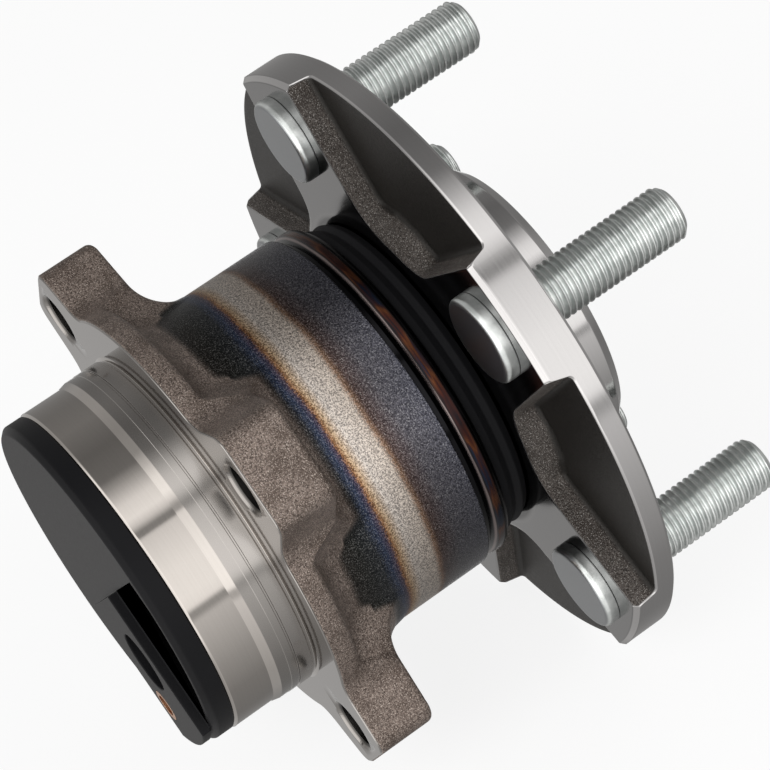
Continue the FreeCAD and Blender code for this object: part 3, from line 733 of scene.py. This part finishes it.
# Each half sector is used twice for every stud: mirrored before it and as it is after it.
def hubGrid(size):
    rows = []
    first = math.radians(size["phase"])
    turns = [first - 2 * math.pi * stud / size["studs"] for stud in range(size["studs"])]

    def addRow(along, radius, angles):
        rows.append(aroundAxis(along, radius, angles))

    def spread(half):
        whole = np.concatenate([-half[::-1][:-1], half[:-1]])
        return np.concatenate([turn + whole for turn in reversed(turns)])

    def spreadValues(values):
        return np.tile(np.concatenate([values[::-1][:-1], values[:-1]]), size["studs"])

    face = size["padFace"]
    rimHalf = halfSector(size, np.array([size["rim"]]))[0]
    rimAngles = spread(rimHalf)
    outboard = roundedOutline(size["pilot"], steps=4, closed=False)
    for along, radius in outboard:
        addRow(along, radius, rimAngles)
    rimDrop = spreadValues(pocketDrop(size, size["rim"] - 0.6, rimHalf))
    narrowing = size["rimChamfer"] - size["pocketChamfer"]
    chamfer = size["rimChamfer"] - narrowing * np.clip(rimDrop / size["pocketDepth"], 0, 1)
    rimStart = size["pilot"][-1][0]
    rimEnd = face + rimDrop + chamfer
    for share in (0.3, 0.7, 0.95, 1.0):
        addRow(rimStart + (rimEnd - rimStart) * share, size["rim"], rimAngles)
    for share in (0.1, 0.5, 0.9, 1.0):
        addRow(rimEnd - chamfer * share, size["rim"] - chamfer * share, rimAngles)
    radii = np.concatenate([
        [69.7], np.linspace(69.2, 48.0, 26), np.linspace(47.5, 38.6, 24), [37.0, 35.0, 33.8]])
    for radius, half in zip(radii, halfSector(size, radii)):
        drop = spreadValues(pocketDrop(size, radius, half))
        addRow(face + drop, radius, spread(half))
    inboard = roundedOutline(size["spindle"], steps=3, closed=False)
    for along, radius in inboard[1:]:
        addRow(along, radius, rimAngles)
    return np.array(rows)


def makeWheelHub(size, material):
    piece = gridPiece("wheelHub", hubGrid(size), "hub", material, replaces=("wheel_hub",), closedRows=False)
    closePoles(piece)


# Wheel stud: M12 with a pitch of 1.5, a round head on the pad and a chamfered tip.
wheelStud = {
    "circle": 57.15,
    "headFace": -13.2,
    "headRadius": 9.6,
    "headRound": 1.1,
    "pad": -10.2,
    "knurl": 6.5,
    "knurlEnd": -2.2,
    "neckRun": 0.6,
    "neckDepth": 0.1,
    "threadStart": 0.4,
    "threadFade": 1.2,
    "radius": 5.96,
    "pitch": 1.5,
    "depth": 0.86,
    "crest": 0.09,
    "flank": 0.30,
    "rounding": 0.35,
    "tip": 34.3,
    "tipChamfer": 1.25,
    "columns": 56,
    "rowsPerPitch": 11,
    "spinBetween": 1.3,
}


# Radius of the thread: a flat crest, flanks that ease in and out by the share called rounding, and a
# root, wound once per pitch. It fades in at the start and is cut by the cone of the tip's chamfer.
def threadRadius(size, along, angle):
    turn = (along / size["pitch"] + angle / (2 * np.pi)) % 1.0
    fall = np.clip((np.abs(turn - 0.5) - size["crest"]) / size["flank"], 0, 1)
    fall = fall * fall * (3 - 2 * fall) * size["rounding"] + fall * (1 - size["rounding"])
    fade = np.clip((along - size["threadStart"]) / size["threadFade"], 0, 1)
    radius = size["radius"] - size["depth"] * fall * fade
    cone = size["radius"] - size["tipChamfer"] + size["tip"] - along
    return np.minimum(radius, cone)


def studGrid(size):
    angles = roundAngles(size["columns"])
    neck = size["radius"] - size["neckDepth"]
    head = roundedOutline([
        (size["headFace"], 0.001, 0), (size["headFace"], size["headRadius"], size["headRound"]),
        (size["pad"], size["headRadius"], 0.15), (size["pad"], size["knurl"], 0.1),
        (size["knurlEnd"], size["knurl"], 0.2), (size["knurlEnd"] + size["neckRun"], neck, 0.1),
        (size["threadStart"], neck, 0)], steps=4, closed=False)
    step = size["pitch"] / size["rowsPerPitch"]
    along = np.arange(size["threadStart"] + 0.05, size["tip"] - 0.01, step)[:, None] + 0 * angles
    thread = aroundAxis(along, threadRadius(size, along, angles), angles)
    tip = size["tip"]
    radius = size["radius"] - size["tipChamfer"]
    end = np.array([(tip - 0.02, radius), (tip, radius - 0.15), (tip, radius - 0.5),
                    (tip - 0.25, radius - 1.6), (tip - 0.3, 0.001)])
    return np.concatenate([turnedGrid(head, angles), thread, turnedGrid(end, angles)])


# Each stud is turned a little further than the last, so that the threads don't all look the same.
def makeStuds(size, hub, material):
    shape = studGrid(size)
    for number in range(hub["studs"]):
        turn = math.radians(hub["phase"] - 360.0 * number / hub["studs"])
        spin = size["spinBetween"] * number
        grid = shape.copy()
        grid[..., 0] = shape[..., 0] * math.cos(spin) + shape[..., 2] * math.sin(spin)
        grid[..., 2] = shape[..., 2] * math.cos(spin) - shape[..., 0] * math.sin(spin)
        grid[..., 0] += size["circle"] * math.sin(turn)
        grid[..., 2] += size["circle"] * math.cos(turn)
        piece = gridPiece("wheelStud%d" % (number + 1), grid, "hub", material,
                          replaces=("wheel_stud_%d" % (number + 1),), closedRows=False)
        closePoles(piece)


# Outboard seal: a glossy bead around the ring's end and a black rubber lip that reaches the flange.
outboardSeal = {
    "columns": 240,
    "case": [
        (-28.0, 35.0, 0.1), (-28.0, 36.0, 0.1), (-21.7, 36.0, 0.1), (-21.7, 38.3, 0.3), (-20.4, 39.6, 1.2),
        (-18.3, 39.6, 1.2), (-17.2, 38.5, 0.3), (-17.2, 35.0, 0.1)],
    "lip": [
        (-27.0, 29.62, 0.1), (-24.7, 29.62, 0.1), (-24.0, 32.7, 0.3), (-17.2, 32.7, 0.5), (-10.55, 35.2, 0.2),
        (-10.55, 36.0, 0.2), (-12.2, 36.9, 0.5), (-13.6, 36.3, 0.4), (-15.2, 37.3, 0.5), (-16.9, 37.4, 0.2),
        (-17.15, 35.0, 0.1), (-27.0, 34.95, 0.1)],
}


def makeSeal(size, caseMaterial, lipMaterial):
    angles = roundAngles(size["columns"])
    for name, key, node, material in (("sealCase", "case", "outboard_seal_case", caseMaterial),
                                      ("sealLip", "lip", "outboard_seal_lip", lipMaterial)):
        outline = roundedOutline(size[key], steps=4)
        gridPiece(name, turnedGrid(outline, angles), "outer", material, replaces=(node,))


# The moulded end cap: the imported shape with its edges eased, in a copy of its own.
endCap = {"edge": 0.35, "steps": 3, "seam": 30.0, "flat": 1.0, "samePoint": 2e-6}


def makeEndCap(size, material):
    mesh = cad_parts["end_cap"].data.copy()
    work = bmesh.new()
    work.from_mesh(mesh)
    bmesh.ops.remove_doubles(work, verts=work.verts, dist=size["samePoint"])
    bmesh.ops.dissolve_limit(work, angle_limit=math.radians(size["flat"]), verts=work.verts, edges=work.edges)
    work.to_mesh(mesh)
    work.free()
    mesh.name = "endCap"
    piece = placePiece("endCap", mesh, "outer", material, replaces=("end_cap",))
    ease = piece.modifiers.new("easedEdges", "BEVEL")
    ease.width = size["edge"] * mm
    ease.segments = size["steps"]
    ease.limit_method = "ANGLE"
    ease.angle_limit = math.radians(size["seam"])
    level = piece.modifiers.new("flatFaces", "WEIGHTED_NORMAL")
    level.weight = 100


# The balls of both rows, which show only between the rings.
rollingRows = {
    "pitch": 29.0,
    "ball": 6.35,
    "count": 12,
    "rows": (("outboardBalls", "outboard_row", -38.5), ("inboardBalls", "inboard_row", -64.5)),
}


def makeBalls(size, material):
    for name, body, along in size["rows"]:
        work = bmesh.new()
        for number in range(size["count"]):
            turn = 2 * math.pi * number / size["count"]
            place = Vector((size["pitch"] * math.sin(turn), along, size["pitch"] * math.cos(turn))) * mm
            bmesh.ops.create_icosphere(work, subdivisions=4, radius=size["ball"] * mm,
                                       matrix=Matrix.Translation(place))
        mesh = bpy.data.meshes.new(name)
        work.to_mesh(mesh)
        work.free()
        placePiece(name, mesh, body, material)


# Turned steel: faint rings from the tool, which are noise along the axis and outwards only.
def turnedRings(tree, spots, scale):
    place = addNode(tree, "ShaderNodeCombineXYZ", None, {0: spots["y"], 1: spots["radius"]})
    return noise(tree, Socket(tree, place.outputs[0]), scale, 3.0, 0.7)


# Forged and blasted steel: a finely pitted brown-grey skin, with pale flecks painted in as glints
# where the pits would sparkle.
forgedSteel = {
    "pit": (0.075, 0.060, 0.053),
    "ridge": (0.27, 0.232, 0.210),
    "patch": (0.080, 0.062, 0.052),
    # painted glints: pale flecks that stand in for the pits' sparkle
    "paintedSparkle": (0.66, 0.61, 0.57),
}


def forgedSkin(tree, spots, colours):
    grain = noise(tree, spots["all"], 2.5, 3.0, 0.6)
    patches = noise(tree, spots["all"], 0.14, 3.0, 0.6)
    speck = noise(tree, spots["all"], 4.2, 2.0, 0.5)
    colour = mixColour(tree, grain.step(0.35, 0.65), colours["pit"], colours["ridge"])
    colour = mixColour(tree, patches.step(0.45, 0.65) * 0.6, colour, colours["patch"])
    # painted glints
    colour = mixColour(tree, speck.step(0.55, 0.65) * 0.55, colour, colours["paintedSparkle"])
    return grain, patches, speck, colour


# The tint runs along the axis from tintFrom to tintTo: nearly black beside the flange, which is painted
# shade where the lobes shade the barrel, then blue, orange and straw, bare steel in the middle, and a
# dark grey-blue at the wheel end.
outerSteel = {
    "tint": [
        (0.0, (0.060, 0.046, 0.037)),
        # these near-black stops are painted shade where the lobes shade the barrel
        (0.14, (0.026, 0.023, 0.020)),
        (0.24, (0.020, 0.021, 0.020)),
        (0.31, (0.024, 0.027, 0.031)),
        (0.35, (0.034, 0.046, 0.082)),
        (0.375, (0.060, 0.046, 0.070)),
        (0.392, (0.22, 0.110, 0.050)),
        (0.413, (0.36, 0.26, 0.165)),
        (0.455, (0.42, 0.385, 0.355)),
        (0.555, (0.38, 0.335, 0.295)),
        (0.580, (0.17, 0.105, 0.070)),
        (0.603, (0.060, 0.040, 0.036)),
        (0.70, (0.066, 0.064, 0.074)),
        (1.0, (0.066, 0.072, 0.096)),
    ],
    "tintFrom": -60.0,
    "tintTo": -17.0,
    "mottle": ((0.45, 0.45, 0.46), (1.55, 1.53, 1.50)),
    # painted glints on the barrel
    "paintedGlint": (0.80, 0.79, 0.78),
    # painted shade: the ring's end past the groove goes near black, in the gap beside the seal bead
    "grooveShade": (0.010, 0.010, 0.011),
    "turned": ((0.42, 0.393, 0.368), (0.46, 0.432, 0.405)),
    "land": {"from": -74.3, "to": -66.0, "colour": (0.28, 0.27, 0.26)},
    # painted shade darkening the flange's inboard face
    "face": (0.16, 0.157, 0.155),
    # painted shade inside the lobe holes
    "hole": (0.085, 0.081, 0.077),
    "skin": (0.90, 0.84, 0.80),
}


def makeOuterSteel(settings, ring):
    material, tree, shader, spots = newMaterial("forgedOuterSteel", metallic=1.0)
    grain, patches, speck, forged = forgedSkin(tree, spots, forgedSteel)
    rings = turnedRings(tree, spots, 2.4)
    sway = noise(tree, spots["all"], 0.05, 2.0, 0.5)
    along = spots["y"] + (sway - 0.5) * 2.6 + (grain - 0.5) * 1.6
    place = (along - settings["tintFrom"]) / (settings["tintTo"] - settings["tintFrom"])
    # the tint holds painted shade beside the flange; the rest is heat tint
    tint = addNode(tree, "ShaderNodeValToRGB", {"stops": settings["tint"]}, {0: place})
    rough = spots["y"].band(-63.0, -23.1, 0.12) * (1 - spots["radius"].step(40.3, 41.0))
    # painted shade in the gap between the ring's end and the seal bead
    grooveShade = spots["y"].step(-23.25, -23.0)
    mottle = mixColour(tree, (grain * 0.5 + speck * 0.5).step(0.40, 0.60), *settings["mottle"])
    scaled = mixColour(tree, 1.0, Socket(tree, tint.outputs[0]), mottle, "MULTIPLY")
    # pale flecks painted in as glints
    scaled = mixColour(tree, speck.step(0.55, 0.68) * 0.16, scaled, settings["paintedGlint"])
    scaled = mixColour(tree, grooveShade, scaled, settings["grooveShade"])
    land = spots["y"].band(settings["land"]["from"], settings["land"]["to"], 0.15)
    bright = mixColour(tree, rings, *settings["turned"])
    bright = mixColour(tree, land * 0.6, bright, settings["land"]["colour"])
    barrel = spots["y"].step(-62.0, -61.0)
    turned = mixColour(tree, barrel, bright, scaled)
    skin = spots["radius"].step(40.3, 41.3) * spots["y"].step(-65.45, -65.2)
    skin = (skin + spots["y"].band(-64.9, -52.0, 0.3) * spots["radius"].step(40.05, 40.3)).clamped()
    # painted shade: the flange's inboard face is darkened
    face = (1 - spots["y"].step(-65.4, -65.0)) * spots["radius"].step(39.0, 39.4)
    turned = mixColour(tree, face * 0.5, turned, settings["face"])
    wide = spots["x"].maths("ABSOLUTE")
    holes = 0.0
    for lobe in ring["lobeAngles"][2:]:
        across = wide - ring["holeCircle"] * math.sin(math.radians(lobe))
        up = spots["z"] - ring["holeCircle"] * math.cos(math.radians(lobe))
        reach = (across * across + up * up).maths("SQRT")
        skin = skin * reach.step(5.9, 6.2)
        holes = (1 - reach.step(5.4, 5.9)) + holes
    # the hole walls get painted shade in their colour and more roughness for their threads
    turned = mixColour(tree, holes, turned, settings["hole"])
    forged = mixColour(tree, 1.0, forged, settings["skin"], "MULTIPLY")
    feed(tree, shader, "Base Color", mixColour(tree, skin, turned, forged))
    smooth = 0.05 + rings * 0.05 + land * 0.10 + holes * 0.25
    coarse = (skin + rough).clamped()
    glossier = rough * (0.10 + spots["y"].step(-35.0, -33.0) * 0.09)
    dull = smooth * (1 - coarse) + (0.34 + grain * 0.28 - glossier) * coarse
    feed(tree, shader, "Roughness", dull)
    feed(tree, shader, "Metallic", 1.0 - skin * 0.25)
    height = (skin + rough * 0.35) * (grain + patches * 0.6) * 0.24 + (1 - coarse) * rings * 0.003
    addBump(tree, shader, height, 1.0)
    return material


# Machined and bright but for the forged pockets and the darker pads. Painted shade darkens the pockets'
# skin and blackens their floors, the pilot's recess and the neck behind the flange, and pale flecks in
# the pockets are painted glints.
hubSteel = {
    "turned": ((0.43, 0.423, 0.422), (0.48, 0.472, 0.471)),
    # painted shade: the pockets' forged skin is darker than elsewhere
    "pocket": (0.36, 0.365, 0.36),
    # painted glints in the pockets
    "paintedGlint": (0.50, 0.48, 0.46),
    # painted shade: near black on the pockets' floors
    "floor": (0.012, 0.011, 0.0095),
    "pad": (0.115, 0.114, 0.115),
    # painted shade for the pilot's recess and the neck behind the flange
    "recessShade": (0.018, 0.018, 0.018),
}


def makeHubSteel(settings, size):
    material, tree, shader, spots = newMaterial("machinedHubSteel", metallic=1.0)
    grain, patches, speck, forged = forgedSkin(tree, spots, forgedSteel)
    rings = turnedRings(tree, spots, 2.0)
    face = size["padFace"]
    deep = face + size["pocketDepth"]
    # painted shade on the pockets' floors, darker towards the bottom
    floor = spots["y"].step(deep - 1.3, deep - 0.4)
    # painted shade over the pockets' forged skin
    forged = mixColour(tree, 1.0, forged, settings["pocket"], "MULTIPLY")
    # pale flecks painted in as glints
    forged = mixColour(tree, speck.step(0.60, 0.68) * 0.34, forged, settings["paintedGlint"])
    forged = mixColour(tree, floor * 0.94, forged, settings["floor"])
    bright = mixColour(tree, rings, *settings["turned"])
    cone = size["rim"] - face - size["rimChamfer"]
    rimCone = (spots["radius"] - spots["y"]).step(cone - 0.35, cone - 0.15)
    inward = spots["y"].band(face + 0.12, -2.0, 0.1) * spots["radius"].band(38.0, size["rim"] - 0.35, 0.15)
    inward = inward * (1 - rimCone)
    beyondNeck = spots["radius"].step(37.0, 39.0)
    pads = (1 - spots["y"].step(face - 0.05, face + 0.15)) * beyondNeck
    bright = mixColour(tree, pads, bright, settings["pad"])
    # painted shade: the pilot's recess goes near black
    recessShade = spots["y"].step(2.5, 4.5) * (1 - spots["radius"].step(25.2, 25.6))
    colour = mixColour(tree, inward, bright, forged)
    # painted shade: the neck behind the flange goes near black
    neck = spots["y"].band(-29.6, face + 0.3, 0.1) * (1 - beyondNeck)
    colour = mixColour(tree, (recessShade + neck).clamped(), colour, settings["recessShade"])
    feed(tree, shader, "Base Color", colour)
    dull = (0.09 + rings * 0.07) * (1 - inward) + (0.46 + grain * 0.25 - floor * 0.1) * inward
    feed(tree, shader, "Roughness", dull)
    feed(tree, shader, "Metallic", 1.0 - inward * 0.4)
    height = inward * (grain + patches * 0.8) * 0.3 * (1 - floor * 0.75) + (1 - inward) * rings * 0.004
    addBump(tree, shader, height, 1.0)
    return material


# headFace darkens the faces of the stud heads: a painted dark reflection
zincSteel = {"plated": ((0.58, 0.61, 0.60), (0.74, 0.765, 0.755)), "headFace": (0.26, 0.27, 0.28)}


def makeZinc(settings, stud):
    material, tree, shader, spots = newMaterial("zincStudSteel", metallic=1.0)
    cloud = noise(tree, spots["all"], 0.35, 3.0, 0.6)
    fine = noise(tree, spots["all"], 4.0, 2.0, 0.6)
    plated = mixColour(tree, cloud.step(0.35, 0.7), *settings["plated"])
    # painted dark reflection on the heads' faces
    headFace = 1 - spots["y"].step(stud["headFace"] + 0.05, stud["headFace"] + 0.45)
    feed(tree, shader, "Base Color", mixColour(tree, headFace, plated, settings["headFace"]))
    feed(tree, shader, "Roughness", 0.24 + fine * 0.16)
    addBump(tree, shader, fine, 0.010)
    return material


def makePlainSteel(name, colour, rough):
    material, tree, shader, spots = newMaterial(name, metallic=1.0)
    rings = turnedRings(tree, spots, 2.4)
    feed(tree, shader, "Base Color", mixColour(tree, rings, tuple(c * 0.9 for c in colour), colour))
    feed(tree, shader, "Roughness", rough + rings * 0.08)
    addBump(tree, shader, rings, 0.010)
    return material


# The bead is nearly black and glossy. A narrow pale line around it beside the barrel is a painted
# highlight, and next to that a painted reflection of the barrel's heat tint wanders between red-brown,
# orange and blue.
sealSteel = {
    # painted reflection of the barrel's heat tint
    "tint": [
        (0.0, (0.010, 0.010, 0.012)),
        (0.40, (0.014, 0.012, 0.014)),
        (0.46, (0.048, 0.017, 0.013)),
        (0.52, (0.100, 0.038, 0.017)),
        (0.56, (0.040, 0.018, 0.017)),
        (0.61, (0.014, 0.019, 0.034)),
        (1.0, (0.010, 0.010, 0.012)),
    ],
    "bead": {"from": -20.3, "to": -18.9, "soft": 0.35, "colour": (0.010, 0.010, 0.011)},
    # painted highlight: the narrow pale line
    "line": {"from": -21.05, "to": -20.65, "soft": 0.15, "colour": (0.17, 0.140, 0.136)},
}


def makeSealSteel(settings):
    material, tree, shader, spots = newMaterial("sealSteel", metallic=1.0)
    streaks = noise(tree, spots["all"], 0.30, 3.0, 0.6, (0.25, 4.0, 0.25))
    patches = noise(tree, spots["all"], 0.06, 2.0, 0.5)
    wander = patches * 0.7 + streaks * 0.3
    # the tint is a painted reflection of the barrel's heat tint
    tint = addNode(tree, "ShaderNodeValToRGB", {"stops": settings["tint"]}, {0: wander})
    place = spots["y"] + (streaks - 0.5) * 0.5
    bead = settings["bead"]
    line = settings["line"]
    beside = place.band(bead["from"], bead["to"], bead["soft"])
    colour = mixColour(tree, beside, bead["colour"], Socket(tree, tint.outputs[0]))
    # painted highlight along the bead
    narrow = place.band(line["from"], line["to"], line["soft"])
    colour = mixColour(tree, narrow, colour, line["colour"])
    feed(tree, shader, "Base Color", colour)
    feed(tree, shader, "Roughness", 0.20 + streaks * 0.12)
    return material


def makeMoulded(name, colour, rough, grainSize, lift, gloss=0.25):
    material, tree, shader, spots = newMaterial(name, gloss=gloss)
    grain = noise(tree, spots["all"], grainSize, 3.0, 0.6)
    cloud = noise(tree, spots["all"], 0.12, 2.0, 0.5)
    feed(tree, shader, "Base Color", mixColour(tree, cloud, tuple(c * 0.8 for c in colour), colour))
    feed(tree, shader, "Roughness", rough + grain * 0.12)
    addBump(tree, shader, grain, lift)
    return material


def makeBrass(clean, tarnished):
    material, tree, shader, spots = newMaterial("insertBrass", metallic=1.0)
    tarnish = noise(tree, spots["all"], 0.9, 3.0, 0.6)
    feed(tree, shader, "Base Color", mixColour(tree, tarnish.step(0.4, 0.7), clean, tarnished))
    feed(tree, shader, "Roughness", 0.22 + tarnish * 0.15)
    return material


darkPlastic = (0.008, 0.008, 0.009)
materials = {
    "outer": makeOuterSteel(outerSteel, outerRing),
    "hub": makeHubSteel(hubSteel, wheelHub),
    "zinc": makeZinc(zincSteel, wheelStud),
    "bearing": makePlainSteel("bearingSteel", (0.62, 0.62, 0.62), rough=0.16),
    "seal": makeSealSteel(sealSteel),
    "lip": makeMoulded("sealRubber", darkPlastic, rough=0.55, grainSize=1.5, lift=0.02, gloss=0.08),
    "cage": makeMoulded("cagePlastic", (0.10, 0.09, 0.07), rough=0.45, grainSize=1.2, lift=0.01),
    "carrier": makePlainSteel("carrierSteel", (0.50, 0.50, 0.48), rough=0.30),
    "encoder": makeMoulded("encoderRubber", (0.03, 0.028, 0.026), rough=0.55, grainSize=1.5, lift=0.01),
    "cap": makeMoulded("capPlastic", darkPlastic, rough=0.34, grainSize=2.2, lift=0.008, gloss=0.08),
    "brass": makeBrass(clean=(0.72, 0.40, 0.22), tarnished=(0.45, 0.24, 0.14)),
}
print("materials ready")

makeOuterRing(outerRing, materials["outer"])
makeWheelHub(wheelHub, materials["hub"])
makeStuds(wheelStud, wheelHub, materials["zinc"])
makeSeal(outboardSeal, materials["seal"], materials["lip"])
makeEndCap(endCap, materials["cap"])
makeBalls(rollingRows, materials["bearing"])

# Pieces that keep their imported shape.
plainPieces = {
    "inner_ring": "bearing",
    "outboard_cage": "cage",
    "inboard_cage": "cage",
    "encoder_carrier": "carrier",
    "encoder_ring": "encoder",
    "sensor_insert": "brass",
}
for node, key in plainPieces.items():
    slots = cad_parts[node].data.materials
    slots.clear()
    slots.append(materials[key])
print("all pieces have their materials")
